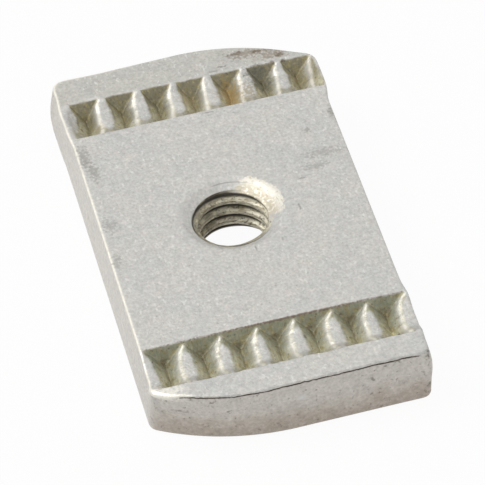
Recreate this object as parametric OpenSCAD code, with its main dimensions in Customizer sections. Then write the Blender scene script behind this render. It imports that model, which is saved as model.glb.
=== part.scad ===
// Strut channel nut: a pressed steel plate that drops through the slot of a
// strut channel, turns a quarter turn and grips the channel's lips with its
// two rows of teeth. The bolt hole's axis is the Z axis and the underside is Z = 0.

/* [Plate] */
// Length of the plate, which lies across the channel once the nut has turned
plate_l = 34.9; // [32:0.1:48]
// Width of the plate's top face
plate_w = 19; // [19:0.1:21]
// How far each side lies inside its upright foot at the top face
side_lean = 0.2; // [0.1:0.05:0.4]
// Height of the upright foot of each side
foot_h = 1.6; // [1:0.1:2.4]
// Thickness of the plate
plate_t = 5; // [4:0.1:12]
// Radius of the two square corners that stop the turn
stop_corner_r = 1; // [0.8:0.1:2.5]
// Rounding of the edge round the underside
under_edge_r = 0.55; // [0.2:0.05:0.75]
// How far the two end rims lie below the middle of the plate
rim_drop = 0.05; // [0.05:0.05:0.35]

/* [Tooth rows] */
// Distance between the inner edges of the two rows, a little over the channel's slot
row_gap = 22.3; // [19:0.1:24]
// Width of a row, from its inner edge to its outer edge
row_w = 3.9; // [3.2:0.1:4.6]
// Radius of the shallow trough that the tops of the teeth follow
trough_r = 4.6; // [3.5:0.1:8]
// Depth of that trough below the plate
trough_depth = 0.5; // [0.45:0.05:0.8]
// Number of pits in a row
pit_count = 7; // [3:1:7]
// Distance from one pit to the next
pit_pitch = 2.65; // [2.2:0.05:2.65]
// Depth of a pit below the plate
pit_depth = 1.3; // [0.9:0.05:1.8]
// Angle between the two flanks of a pit
pit_angle = 90; // [60:1:100]
// How far the inner wall of a pit leans from its top edge to the pit's bottom
inner_lean = 0.65; // [0.2:0.05:1]
// How far the outer wall of a pit leans from its top edge to the pit's bottom
outer_lean = 0.8; // [0.2:0.05:1]
// Sideways set of the row at the +Y end
far_row_set = 0.3; // [-0.4:0.05:0.4]
// Sideways set of the row at the -Y end
near_row_set = 0.1; // [-0.4:0.05:0.4]

/* [Side swell] */
// How far the press pushes the sides out beside each row
swell_out = 0.25; // [0.1:0.05:0.4]
// Length of the swell along the side
swell_l = 5.5; // [4:0.1:6.5]

/* [Bolt hole] */
// Diameter of the hole inside its thread
bore_d = 5; // [3:0.1:9]
// How far each countersink is wider than the hole, all round
sink_out = 1.1; // [0.3:0.05:1.6]
// Angle of the countersinks
sink_angle = 120; // [82:1:120]

/* [Hidden] */
$fn = 96;

half_l = plate_l / 2;
half_w = plate_w / 2;

// Half the width at the foot, where the plate is widest.
foot_half_w = half_w + side_lean;

// The two corners that lead in the turn lie on one circle about the hole.
lead_r = half_l;

// A cutting solid stands this far past the face that it cuts.
past = 1;

// The walls of a pit are carried on this far past its bottom.
pit_past = 0.1;

// Inner edge, outer edge and middle of a row, and the lowest line of its trough.
row_in_y = row_gap / 2;
row_out_y = row_in_y + row_w;
row_mid_y = (row_in_y + row_out_y) / 2;
trough_y = row_in_y + sqrt(2 * trough_r * trough_depth - pow(trough_depth, 2));

// Radius of the ball that has a cap of the swell's length and height.
swell_r = (pow(swell_l / 2, 2) + pow(swell_out, 2)) / (2 * swell_out);

sink_depth = sink_out / tan(sink_angle / 2);

// Section of a slab that stands on Y = 0, with its two lower corners rounded.
module slab_section(width, height) {
    translate([-width / 2, under_edge_r]) square([width, height - under_edge_r]);
    translate([under_edge_r - width / 2, 0]) square([width - 2 * under_edge_r, height]);
    for (side = [-1, 1]) translate([side * (width / 2 - under_edge_r), under_edge_r]) circle(under_edge_r);
}

// The plate from its end: above the upright foot of each side the sheared face leans inward.
module end_section() {
    lean_past = side_lean * past / (plate_t - foot_h);
    intersection() {
        slab_section(2 * foot_half_w, plate_t + past);
        polygon([
            [-foot_half_w - past, -past],
            [foot_half_w + past, -past],
            [foot_half_w + past, foot_h],
            [foot_half_w, foot_h],
            [half_w - lean_past, plate_t + past],
            [lean_past - half_w, plate_t + past],
            [-foot_half_w, foot_h],
            [-foot_half_w - past, foot_h]
        ]);
    }
}

// Round post on the Z axis with the same rounding round its foot.
module round_post(radius) {
    rotate_extrude() intersection() {
        slab_section(2 * radius, plate_t + past);
        square([radius, plate_t + past]);
    }
}

// Carries a section drawn in Y and Z across the plate, past both its sides.
module across_plate() {
    rotate([90, 0, 90]) linear_extrude(2 * (foot_half_w + past), center = true) children();
}

// Carries a section drawn in X and Z along the plate, past both its ends.
module along_plate() {
    rotate([90, 0, 0]) linear_extrude(plate_l + 2 * past, center = true) children();
}

// The plate from the side: the end rims lie lower than the middle.
module side_section() {
    difference() {
        slab_section(plate_l, plate_t);
        for (end = [0, 1]) mirror([end, 0]) translate([row_mid_y, plate_t - rim_drop]) square([half_l, past]);
    }
}

// Cap of metal that the press pushes out of one side beside one row.
module swell() {
    intersection() {
        translate([half_w + swell_out - swell_r, row_mid_y, plate_t]) sphere(swell_r);
        translate([0, row_mid_y - swell_l / 2, under_edge_r]) cube([plate_w, swell_l, plate_t]);
    }
}

// What the turn leaves: a disc about the hole, and the two quarters with the stop corners.
module turning_room() {
    round_post(lead_r);
    for (turn = [0, 180]) rotate(turn) {
        translate([-plate_w, 0, -past]) cube([plate_w, plate_l, plate_t + 2 * past]);
    }
}

// What the stop corners lose outside their rounding.
module stop_corner_waste() {
    corner_x = stop_corner_r - foot_half_w;
    corner_y = half_l - stop_corner_r;
    reach = stop_corner_r + past;
    for (turn = [0, 180]) rotate(turn) translate([corner_x, corner_y, 0]) difference() {
        translate([-reach, 0, -past]) cube([reach, reach, plate_t + past]);
        round_post(stop_corner_r);
    }
}

module blank() {
    difference() {
        intersection() {
            union() {
                along_plate() end_section();
                for (side = [0, 1], end = [0, 1]) mirror([side, 0, 0]) mirror([0, end, 0]) swell();
            }
            across_plate() side_section();
            turning_room();
        }
        stop_corner_waste();
    }
}

// One row at the +Y end: a shallow trough with vee pits pressed into it side by side.
module tooth_row(sideways) {
    first_pit_x = sideways - (pit_count - 1) / 2 * pit_pitch;
    translate([0, trough_y, plate_t - trough_depth + trough_r]) rotate([0, 90, 0]) {
        cylinder(r = trough_r, h = 2 * (foot_half_w + past), center = true);
    }
    intersection() {
        across_plate() pit_walls();
        for (pit = [0:pit_count - 1]) translate([first_pit_x + pit * pit_pitch, 0, 0]) along_plate() pit_vee();
    }
}

// Inner and outer walls of the pits, carried on past the face and past the bottom.
module pit_walls() {
    inner_slope = inner_lean / pit_depth;
    outer_slope = outer_lean / pit_depth;
    top = plate_t + past;
    bottom = plate_t - pit_depth - pit_past;
    polygon([
        [row_in_y - past * inner_slope, top],
        [row_out_y + past * outer_slope, top],
        [row_out_y - (plate_t - bottom) * outer_slope, bottom],
        [row_in_y + (plate_t - bottom) * inner_slope, bottom]
    ]);
}

// Section of one pit from flank to flank.
module pit_vee() {
    half_open = (pit_depth + past) * tan(pit_angle / 2);
    polygon([[0, plate_t - pit_depth], [half_open, plate_t + past], [-half_open, plate_t + past]]);
}

// The hole at its thread's inner diameter, countersunk from both faces.
module bolt_hole() {
    translate([0, 0, -past]) cylinder(d = bore_d, h = plate_t + 2 * past);
    wide = bore_d + 2 * (sink_depth + past) * tan(sink_angle / 2);
    translate([0, 0, plate_t - sink_depth]) cylinder(d1 = bore_d, d2 = wide, h = sink_depth + past);
    translate([0, 0, -past]) cylinder(d1 = wide, d2 = bore_d, h = sink_depth + past);
}

// The nut is one piece of steel.
module channel_nut() {
    color([0.78, 0.78, 0.76]) difference() {
        blank();
        tooth_row(far_row_set);
        rotate(180) tooth_row(-near_row_set);
        bolt_hole();
    }
}

channel_nut();
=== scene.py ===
"""Dressed model of a strut channel nut.

The nut is one pressed steel plate with a row of teeth across each end and a threaded hole in
the middle.  Sizes in the classes are millimetres in the CAD frame: the underside is Z = 0, the
hole's axis is the Z axis and the length lies along Y.
"""

import logging
import math
from dataclasses import dataclass, field
from enum import Enum
from typing import Any, Callable, Sequence

import bpy
import numpy as np
from mathutils import Matrix, Vector, noise
from mathutils.geometry import delaunay_2d_cdt


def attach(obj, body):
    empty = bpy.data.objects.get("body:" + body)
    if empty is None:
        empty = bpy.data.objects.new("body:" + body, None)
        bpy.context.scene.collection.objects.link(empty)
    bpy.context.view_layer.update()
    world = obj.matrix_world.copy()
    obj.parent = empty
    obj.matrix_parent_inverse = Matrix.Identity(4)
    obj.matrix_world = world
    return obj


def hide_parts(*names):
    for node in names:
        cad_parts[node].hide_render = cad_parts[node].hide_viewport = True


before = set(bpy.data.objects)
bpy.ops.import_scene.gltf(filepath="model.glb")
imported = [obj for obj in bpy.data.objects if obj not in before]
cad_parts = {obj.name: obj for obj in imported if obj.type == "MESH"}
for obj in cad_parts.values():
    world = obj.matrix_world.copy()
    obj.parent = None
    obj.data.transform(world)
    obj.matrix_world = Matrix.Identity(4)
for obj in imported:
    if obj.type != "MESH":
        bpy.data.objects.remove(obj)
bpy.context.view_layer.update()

LOG = logging.getLogger("channel_nut")
MM = 0.001

Colour = tuple[float, float, float]
Point = tuple[float, float]
Point3 = tuple[float, float, float]


class RowSide(Enum):
    """Which end of the plate a tooth row lies at."""

    FAR = 1
    NEAR = -1


class Zone(Enum):
    """Part of the surface that a point of the plate belongs to."""

    TOP = 0
    SIDE = 1
    UNDER = 2
    BORE = 3


# --------------------------------------------------------------------------- node helpers


class Value:
    """A node's output, which takes the usual signs for sums."""

    def __init__(self, sheet: "NodeSheet", socket: bpy.types.NodeSocket) -> None:
        """Take an output of a tree."""
        self.sheet = sheet
        self.socket = socket

    def calc(self, operation: str, *others: Any, clamp: bool = False) -> "Value":
        """Do one sum on this number and others.

        Args:
            operation: Operation of the Math node.
            *others: Further operands, values or plain numbers.
            clamp: Whether the result is held between 0 and 1.

        Returns:
            The result.
        """
        terms = (self, *others)
        return self.sheet.value("ShaderNodeMath", terms, operation=operation, use_clamp=clamp)

    def __add__(self, other: Any) -> "Value":
        """Return the sum."""
        return self.calc("ADD", other)

    def __sub__(self, other: Any) -> "Value":
        """Return the difference."""
        return self.calc("SUBTRACT", other)

    def __rsub__(self, other: float) -> "Value":
        """Return a plain number less this one."""
        return self.sheet.value("ShaderNodeMath", (other, self), operation="SUBTRACT")

    def __mul__(self, other: Any) -> "Value":
        """Return the product."""
        return self.calc("MULTIPLY", other)

    def __truediv__(self, other: Any) -> "Value":
        """Return the quotient."""
        return self.calc("DIVIDE", other)

    def __neg__(self) -> "Value":
        """Return the number with its sign turned."""
        return self * -1.0

    def __abs__(self) -> "Value":
        """Return the number without its sign."""
        return self.calc("ABSOLUTE")

    def most(self, other: "Value") -> "Value":
        """Return the larger of this and another."""
        return self.calc("MAXIMUM", other)

    def ease(self, low: Any, high: Any, start: float = 0.0, end: float = 1.0) -> "Value":
        """Ease the number from one result to another.

        Args:
            low: Where the result starts to change.
            high: Where it ends.
            start: Result at the low end.
            end: Result at the high end.

        Returns:
            The eased result.
        """
        terms = (self, low, high, start, end)
        return self.sheet.value("ShaderNodeMapRange", terms, interpolation_type="SMOOTHSTEP")


class NodeSheet:
    """A node tree under construction."""

    def __init__(self, tree: bpy.types.NodeTree) -> None:
        """Take the shader or geometry node tree to build in."""
        self.tree = tree

    def feed(self, socket: bpy.types.NodeSocket, value: Any) -> None:
        """Link a value to an input, or write a plain one on it."""
        if isinstance(value, Value):
            self.tree.links.new(value.socket, socket)
        else:
            socket.default_value = value

    def node(self, kind: str, inputs: Any = (), **settings: Any) -> bpy.types.Node:
        """Add a node.

        Args:
            kind: Blender's name of the node type.
            inputs: Its inputs, in order or by name.
            **settings: Properties to set on it.

        Returns:
            The new node.
        """
        made = self.tree.nodes.new(kind)
        for name, value in settings.items():
            setattr(made, name, value)
        for key, value in inputs.items() if isinstance(inputs, dict) else enumerate(inputs):
            self.feed(made.inputs[key], value)
        return made

    def value(self, kind: str, inputs: Any = (), output: Any = 0, **settings: Any) -> Value:
        """Add a node for one of its outputs.

        Args:
            kind: Blender's name of the node type.
            inputs: Its inputs, in order or by name.
            output: Place or name of the output.
            **settings: Properties to set on it.

        Returns:
            The output.
        """
        return Value(self, self.node(kind, inputs, **settings).outputs[output])

    def vector(self, operation: str, first: Value, second: Any = (0.0, 0.0, 0.0)) -> Value:
        """Do one sum on vectors.

        Args:
            operation: Operation of the Vector Math node.
            first: The first operand.
            second: The second, which is the factor of a scaling.

        Returns:
            The result, a number for a length.
        """
        inputs = {0: first, ("Scale" if operation == "SCALE" else 1): second}
        output = "Value" if operation == "LENGTH" else "Vector"
        return self.value("ShaderNodeVectorMath", inputs, output, operation=operation)

    def split(self, vector: Value) -> tuple[Value, ...]:
        """Return the three parts of a vector."""
        made = self.node("ShaderNodeSeparateXYZ", (vector,))
        return tuple(Value(self, made.outputs[k]) for k in range(3))

    def unite(self, *parts: Any) -> Value:
        """Return a vector of three numbers."""
        return self.value("ShaderNodeCombineXYZ", parts)


class GeometrySheet(NodeSheet):
    """A geometry node tree that takes a mesh and a few named sizes."""

    def __init__(self, name: str, sizes: dict[str, float]) -> None:
        """Start the tree.

        Args:
            name: Name of the tree.
            sizes: Named inputs and their default values, in millimetres.
        """
        super().__init__(bpy.data.node_groups.new(name, "GeometryNodeTree"))
        self.tree.is_modifier = True
        self.sizes = sizes
        self.keys: dict[str, str] = {}
        sockets = self.tree.interface
        for way in ("INPUT", "OUTPUT"):
            sockets.new_socket("Geometry", in_out=way, socket_type="NodeSocketGeometry")
        for label, value in sizes.items():
            item = sockets.new_socket(label, in_out="INPUT", socket_type="NodeSocketFloat")
            item.default_value = value
            self.keys[label] = item.identifier
        source = self.node("NodeGroupInput")
        self.geometry = Value(self, source.outputs["Geometry"])
        self.size = {label: Value(self, source.outputs[label]) for label in sizes}

    def attribute(self, name: str) -> Value:
        """Read a named number of each point."""
        kind = "GeometryNodeInputNamedAttribute"
        return self.value(kind, {"Name": name}, "Attribute", data_type="FLOAT")

    def then(self, kind: str, inputs: dict[str, Any], **settings: Any) -> None:
        """Add a node that the geometry passes through.

        Args:
            kind: Blender's name of the node type.
            inputs: Its other inputs by name.
            **settings: Properties to set on it.
        """
        inputs = {"Geometry": self.geometry, **inputs}
        self.geometry = self.value(kind, inputs, "Geometry", **settings)

    def store(self, name: str, value: Value) -> None:
        """Keep a named number on each point."""
        inputs = {"Name": name, "Value": value}
        self.then("GeometryNodeStoreNamedAttribute", inputs, data_type="FLOAT", domain="POINT")

    def raise_to(self, name: str, value: Value) -> None:
        """Raise a named number of each point to another where that is larger."""
        self.store(name, self.attribute(name).most(value))

    def position(self) -> Value:
        """Return each point's place in millimetres."""
        return self.vector("SCALE", self.value("GeometryNodeInputPosition"), 1.0 / MM)

    def uneven(self, scale: float, shift: float) -> Value:
        """Return a soft random number of each point.

        Args:
            scale: Number of features in a millimetre.
            shift: Move of the pattern, which makes another one.

        Returns:
            The number, about 0 on average.
        """
        moved = self.vector("ADD", self.position(), (shift,) * 3)
        inputs = {"Vector": moved, "Scale": scale, "Detail": 1.0}
        return self.value("ShaderNodeTexNoise", inputs) - 0.5

    def place(self, *parts: Value) -> None:
        """Move each point to a place in millimetres."""
        target = self.vector("SCALE", self.unite(*parts), MM)
        self.then("GeometryNodeSetPosition", {"Position": target})

    def apply(self, target: bpy.types.Object, material: bpy.types.Material) -> None:
        """End the tree with real geometry in one material and put it on an object.

        Args:
            target: The object.
            material: The finish that the result takes.
        """
        self.then("GeometryNodeRealizeInstances", {})
        self.then("GeometryNodeSetMaterial", {"Material": material})
        self.node("NodeGroupOutput", {"Geometry": self.geometry})
        modifier = target.modifiers.new(self.tree.name, "NODES")
        modifier.node_group = self.tree
        for label, value in self.sizes.items():
            modifier[self.keys[label]] = float(value)


# --------------------------------------------------------------------------- the plate


def waves(x: np.ndarray, scale: float, place: Point) -> np.ndarray:
    """Return a soft random number for each place along a line.

    Args:
        x: The places.
        scale: Number of features in a millimetre.
        place: Where the line lies in the pattern.

    Returns:
        One number for each place, about 0 on average.
    """
    return np.array([noise.noise(Vector((v * scale, *place))) for v in x])


def directions(points: np.ndarray) -> tuple[np.ndarray, np.ndarray]:
    """Return the direction and the distance of points in plan from the hole's axis."""
    return np.arctan2(points[:, 1], points[:, 0]), np.hypot(points[:, 0], points[:, 1])


def reach_of(points: np.ndarray, angles: np.ndarray) -> np.ndarray:
    """Return how far a closed outline reaches in each direction.

    Args:
        points: Points of the outline in plan.
        angles: Directions in radians.

    Returns:
        One distance from the hole's axis for each direction.
    """
    turn, away = directions(points)
    order = np.argsort(turn)
    return np.interp(angles, turn[order], away[order], period=math.tau)


@dataclass(frozen=True)
class Bulge:
    """Metal that the press or the shear pushed in or out of the plate's edge.

    Attributes:
        at: Middle of the bulge in plan.
        height: Height of its middle.
        along: How far it reaches along the edge.
        tall: How far it reaches up and down.
        out: How far it stands out.
    """

    at: Point
    height: float
    along: float
    tall: float
    out: float

    def stand_out(self, plan: np.ndarray, height: float) -> np.ndarray:
        """Return how far the points of one ring stand out.

        Args:
            plan: The ring's points in plan.
            height: The ring's height.

        Returns:
            One distance for each point.
        """
        away = np.hypot(plan[:, 0] - self.at[0], plan[:, 1] - self.at[1]) / self.along
        rise = (height - self.height) / self.tall
        return self.out * np.exp(-away ** 4 - rise ** 2)


@dataclass(frozen=True)
class Fold:
    """Thin seam just under the top edge of the near end, where sheared metal lapped over.

    Attributes:
        height: Height of the seam at its left end.
        climb: How much it rises for each unit to the right.
        depth: Depth of the seam.
        width: Half width of the seam.
        left: Where it starts.
        right: Where it ends.
        fade: Length over which it opens at each end.
        end: Place of the near end, which alone has a seam.
    """

    height: float = 4.77
    climb: float = -0.004
    depth: float = 0.15
    width: float = 0.055
    left: float = -8.1
    right: float = 9.2
    fade: float = 0.8
    end: float = -13.0

    def open_at(self, plan: np.ndarray, height: float) -> np.ndarray:
        """Return how far the seam is open at the points of one ring.

        Args:
            plan: The ring's points in plan.
            height: The ring's height.

        Returns:
            A number from 0 to 1 for each point.
        """
        x = plan[:, 0]
        wander = waves(x, 0.8, (0.0, 5.0)) * 0.07 + waves(x, 3.3, (2.0, 5.0)) * 0.05
        middle = self.height + self.climb * (x - self.left) + wander
        share = np.clip((x - self.left) / self.fade, 0.0, 1.0)
        share = share * np.clip((self.right - x) / self.fade, 0.0, 1.0) * (plan[:, 1] < self.end)
        share = share * np.clip(0.85 + 1.2 * waves(x, 1.7, (4.0, 9.0)), 0.5, 1.0)
        return np.exp(-((height - middle) / self.width) ** 2) * share


@dataclass(frozen=True)
class Outline:
    """Plan of the plate at one height.

    Attributes:
        left: Distance of the left side from the hole's axis.
        right: Distance of the right side.
        far: Distance of the far edge at its middle.
        near: Distance of the near edge at its middle.
        tilt: Slope of the two end edges.
        far_arc: Middle and radius of the lead corner's arc at the far right.
        near_arc: Middle and radius of the lead corner's arc at the near left.
        far_round: Softness of the stop corner at the far left.
        near_round: Softness of the stop corner at the near right.
        lead_round: Softness of the edges where the arcs meet the sides.
    """

    left: float
    right: float
    far: float
    near: float
    tilt: float
    far_arc: Point3
    near_arc: Point3
    far_round: float
    near_round: float
    lead_round: float = 0.3

    STEP = 0.05
    ARC_POINTS = 24
    SPREAD = 2.2
    TAIL = 3.0

    def sharp_corners(self) -> list[Point3]:
        """Return the corners in plan, anticlockwise from the near right, with their softness."""
        corners = [(self.right, -self.near + self.tilt * self.right, self.near_round)]
        corners += self.arc(self.far_arc, self.right)
        corners.append((-self.left, self.far - self.tilt * self.left, self.far_round))
        return corners + self.arc(self.near_arc, -self.left)

    def arc(self, shape: Point3, side: float) -> list[Point3]:
        """Return points of a lead corner's arc, from a side to the arc's top.

        Args:
            shape: Middle and radius of the arc.
            side: Where the plate's side cuts it.

        Returns:
            Points with their softness, which only the first has.
        """
        x, y, radius = shape
        turn = math.copysign(1.0, side)
        start = math.asin((side - x) * turn / radius)
        points = []
        for share in np.linspace(1.0, 0.0, self.ARC_POINTS):
            angle = start * share
            soft = self.lead_round if share == 1.0 else 0.0
            out = turn * radius
            points.append((x + out * math.sin(angle), y + out * math.cos(angle), soft))
        return points

    def trace(self) -> np.ndarray:
        """Return the outline as closely spaced points."""
        corners = self.sharp_corners()
        plan: list[Point] = []
        for (x0, y0, _), (x1, y1, _) in zip(corners, corners[1:] + corners[:1]):
            count = max(1, round(math.hypot(x1 - x0, y1 - y0) / self.STEP))
            shares = [k / count for k in range(count)]
            plan += [(x0 + (x1 - x0) * share, y0 + (y1 - y0) * share) for share in shares]
        points = np.array(plan)
        soft = np.full(len(points), self.STEP)
        for x, y, amount in corners:
            away = np.hypot(points[:, 0] - x, points[:, 1] - y)
            spread = self.SPREAD * amount + self.STEP
            soft = np.maximum(soft, amount * np.exp(-(away / spread) ** 2))
        reach = int(self.TAIL * soft.max() / self.STEP)
        total = np.zeros_like(points)
        weight = np.zeros(len(points))
        for shift in range(-reach, reach + 1):
            share = np.exp(-0.5 * (shift * self.STEP / soft) ** 2)
            total += np.roll(points, -shift, axis=0) * share[:, None]
            weight += share
        return total / weight[:, None]


@dataclass
class MeshDraft:
    """Points, faces and named numbers of a mesh that grows piece by piece."""

    points: list[Point3] = field(default_factory=list)
    faces: list[tuple[int, ...]] = field(default_factory=list)
    marks: dict[str, list[float]] = field(
        default_factory=lambda: {name: [] for name in MeshDraft.NAMES})

    NAMES = ("press", "edge", "fold", "side", "zone")

    def add(self, points: Sequence[Sequence[float]], zone: Zone, **marks: Any) -> range:
        """Add points.

        Args:
            points: Their places.
            zone: Part of the surface that they belong to.
            **marks: Named numbers, one for all the points or one for each: how much of the
                tooth rows' depth reaches them, how near they lie to the rounded top edge, which
                takes wear and a painted highlight, or to the fold, and whether they are on a
                sheared face.

        Returns:
            Their indices.
        """
        start = len(self.points)
        self.points += [tuple(float(v) for v in point) for point in points]
        marks["zone"] = float(zone.value)
        for name in self.NAMES:
            values = np.broadcast_to(marks.get(name, 0.0), len(points))
            self.marks[name] += values.astype(float).tolist()
        return range(start, len(self.points))

    def bridge(self, upper: Sequence[int], lower: Sequence[int]) -> None:
        """Join two closed rings with faces, first the one that is higher on the outside."""
        count = len(upper)
        for k in range(count):
            n = (k + 1) % count
            self.faces.append((upper[k], lower[k], lower[n], upper[n]))

    def build(self, name: str) -> bpy.types.Object:
        """Return the draft as a named object in metres."""
        mesh = bpy.data.meshes.new(name)
        mesh.from_pydata([tuple(v * MM for v in point) for point in self.points], [], self.faces)
        for label, values in self.marks.items():
            layer = mesh.attributes.new(label, "FLOAT", "POINT")
            layer.data.foreach_set("value", values)
        mesh.polygons.foreach_set("use_smooth", [True] * len(mesh.polygons))
        mesh.update()
        made = bpy.data.objects.new(name, mesh)
        bpy.context.scene.collection.objects.link(made)
        return made


@dataclass
class BoltHole:
    """Threaded hole with a countersink at each face.

    Attributes:
        minor_r: Radius of the thread's crests.
        major_r: Radius of the thread's roots.
        pitch: Rise of the thread in one turn.
        mouth_r: Radius of the upper countersink at the top face.
        sink_slope: How far it widens for each unit of height.
        lip: Rounding at its mouth.
        under_r: Radius of the lower countersink at the underside.
        under_slope: How far it widens for each unit of height.
        under_lip: Rounding at its mouth.
        relief_r: Radius at the foot of the upper countersink, where the tap ran in.
        start: Height of a root on the far side, which sets where the thread starts.
        around: Number of points round the hole.
        fine: Height of one ring in the thread.
    """

    minor_r: float = 2.5
    major_r: float = 3.02
    pitch: float = 1.0
    mouth_r: float = 3.68
    sink_slope: float = 1.732
    lip: float = 0.22
    under_r: float = 3.8
    under_slope: float = 1.0
    under_lip: float = 0.08
    relief_r: float = 2.8
    start: float = 0.16
    around: int = 120
    fine: float = 0.055

    LIP_STEPS = 8
    FLANK_SHARE = 0.3125
    ROOT_SHARE = 0.125
    RELIEF_EASE = 0.16
    CREST_SOFTNESS = 0.08

    def ring(self, radius: float, height: float) -> list[Point3]:
        """Return one ring of points."""
        steps = [math.tau * k / self.around for k in range(self.around)]
        return [(radius * math.cos(a), radius * math.sin(a), height) for a in steps]

    def mouth(self, radius: float, slope: float, lip: float) -> list[Point]:
        """Return radius and depth down one countersink, from its rounded mouth to the thread.

        Args:
            radius: Radius of the countersink at the face.
            slope: How far it widens for each unit of height.
            lip: Rounding at its mouth.

        Returns:
            Pairs of radius and depth.
        """
        shares = [k / self.LIP_STEPS for k in range(self.LIP_STEPS)]
        first = lip / slope
        path = [(radius + lip * (1.0 - 2.0 * share), first * share ** 2) for share in shares]
        depth = (radius - self.minor_r) / slope
        count = round((depth - first) / self.fine)
        for k in range(count + 1):
            down = first + (depth - first) * k / count
            path.append((radius - slope * down, down))
        return path

    def profile(self, thickness: float) -> list[Point]:
        """Return radius and height down the smooth hole, from the top face to the underside."""
        upper = self.mouth(self.mouth_r, self.sink_slope, self.lip)
        lower = self.mouth(self.under_r, self.under_slope, self.under_lip)
        high, low = thickness - upper[-1][1], lower[-1][1]
        count = round((high - low) / self.fine)
        wall = [(self.minor_r, high - (high - low) * k / count) for k in range(1, count)]
        return [(radius, thickness - down) for radius, down in upper] + wall + lower[::-1]

    def line(self, draft: MeshDraft, thickness: float) -> tuple[range, range]:
        """Add the smooth wall of the hole to the plate.

        Args:
            draft: The plate's mesh.
            thickness: Thickness of the plate.

        Returns:
            The rings at the top face and at the underside.
        """
        path = self.profile(thickness)
        rings = [draft.add(self.ring(radius, height), Zone.BORE) for radius, height in path]
        for upper, lower in zip(rings, rings[1:]):
            draft.bridge(upper[::-1], lower[::-1])
        return rings[0], rings[-1]

    def cut_thread(self, plate: bpy.types.Object, thickness: float,
                   material: bpy.types.Material) -> None:
        """Cut the thread: a node tree pushes the wall out along a helix.

        Args:
            plate: The plate with its smooth hole.
            thickness: Thickness of the plate.
            material: The finish.
        """
        relief_z = thickness - (self.mouth_r - self.relief_r) / self.sink_slope
        sheet = GeometrySheet("cut_thread", {
            "Pitch": self.pitch, "Crest Radius": self.minor_r, "Root Radius": self.major_r,
            "Root Height": self.start, "Flank Share": self.FLANK_SHARE,
            "Root Share": self.ROOT_SHARE, "Relief Radius": self.relief_r,
            "Relief Height": relief_z,
        })
        size = sheet.size
        x, y, z = sheet.split(sheet.position())
        turn = y.calc("ARCTAN2", x) / math.tau
        off_root = ((z - size["Root Height"]) / size["Pitch"] - turn + 0.25).calc("PINGPONG", 0.5)
        flank = off_root - size["Root Share"] * 0.5
        depth = 1.0 - flank.calc("DIVIDE", size["Flank Share"], clamp=True)
        crest = size["Crest Radius"]
        thread_r = depth * (size["Root Radius"] - crest) + crest
        wall_r = sheet.vector("LENGTH", sheet.unite(x, y, 0.0))
        relief = z.ease(size["Relief Height"] - self.RELIEF_EASE, size["Relief Height"])
        relief_r = relief * (size["Relief Radius"] - crest) + crest
        new_r = wall_r.calc("SMOOTH_MAX", thread_r.most(relief_r), self.CREST_SOFTNESS)
        bore = sheet.attribute("zone").calc("COMPARE", float(Zone.BORE.value), 0.5)
        moved = bore * wall_r.calc("LESS_THAN", size["Root Radius"])
        growth = (new_r.most(wall_r) / wall_r - 1.0) * moved + 1.0
        sheet.store("groove", depth * moved)
        sheet.store("machined", bore)
        sheet.place(x * growth, y * growth, z)
        sheet.apply(plate, material)


@dataclass(frozen=True)
class RowPlace:
    """Where each point lies in a tooth row, as values of the row's node tree.

    Attributes:
        x: Sideways place, with the row's sway.
        across: Distance from the inner edge.
        left_over: Distance to the outer edge.
        fall: How far the trough has fallen from the inner edge, from 0 to 1.
        rise: How far it still is below the outer edge, from 0 to 1.
        ends: How far the point is between the trough's two ends, from 0 to 1.
        band: How far it is within the row and its edges, from 0 to 1.
        trough: Height of the trough.
    """

    x: Value
    across: Value
    left_over: Value
    fall: Value
    rise: Value
    ends: Value
    band: Value
    trough: Value

    def within(self, low: float, high: float) -> Value:
        """Return how far the point is inside both edges, eased from one distance to another."""
        return self.across.ease(low, high) * self.left_over.ease(low, high)


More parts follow.
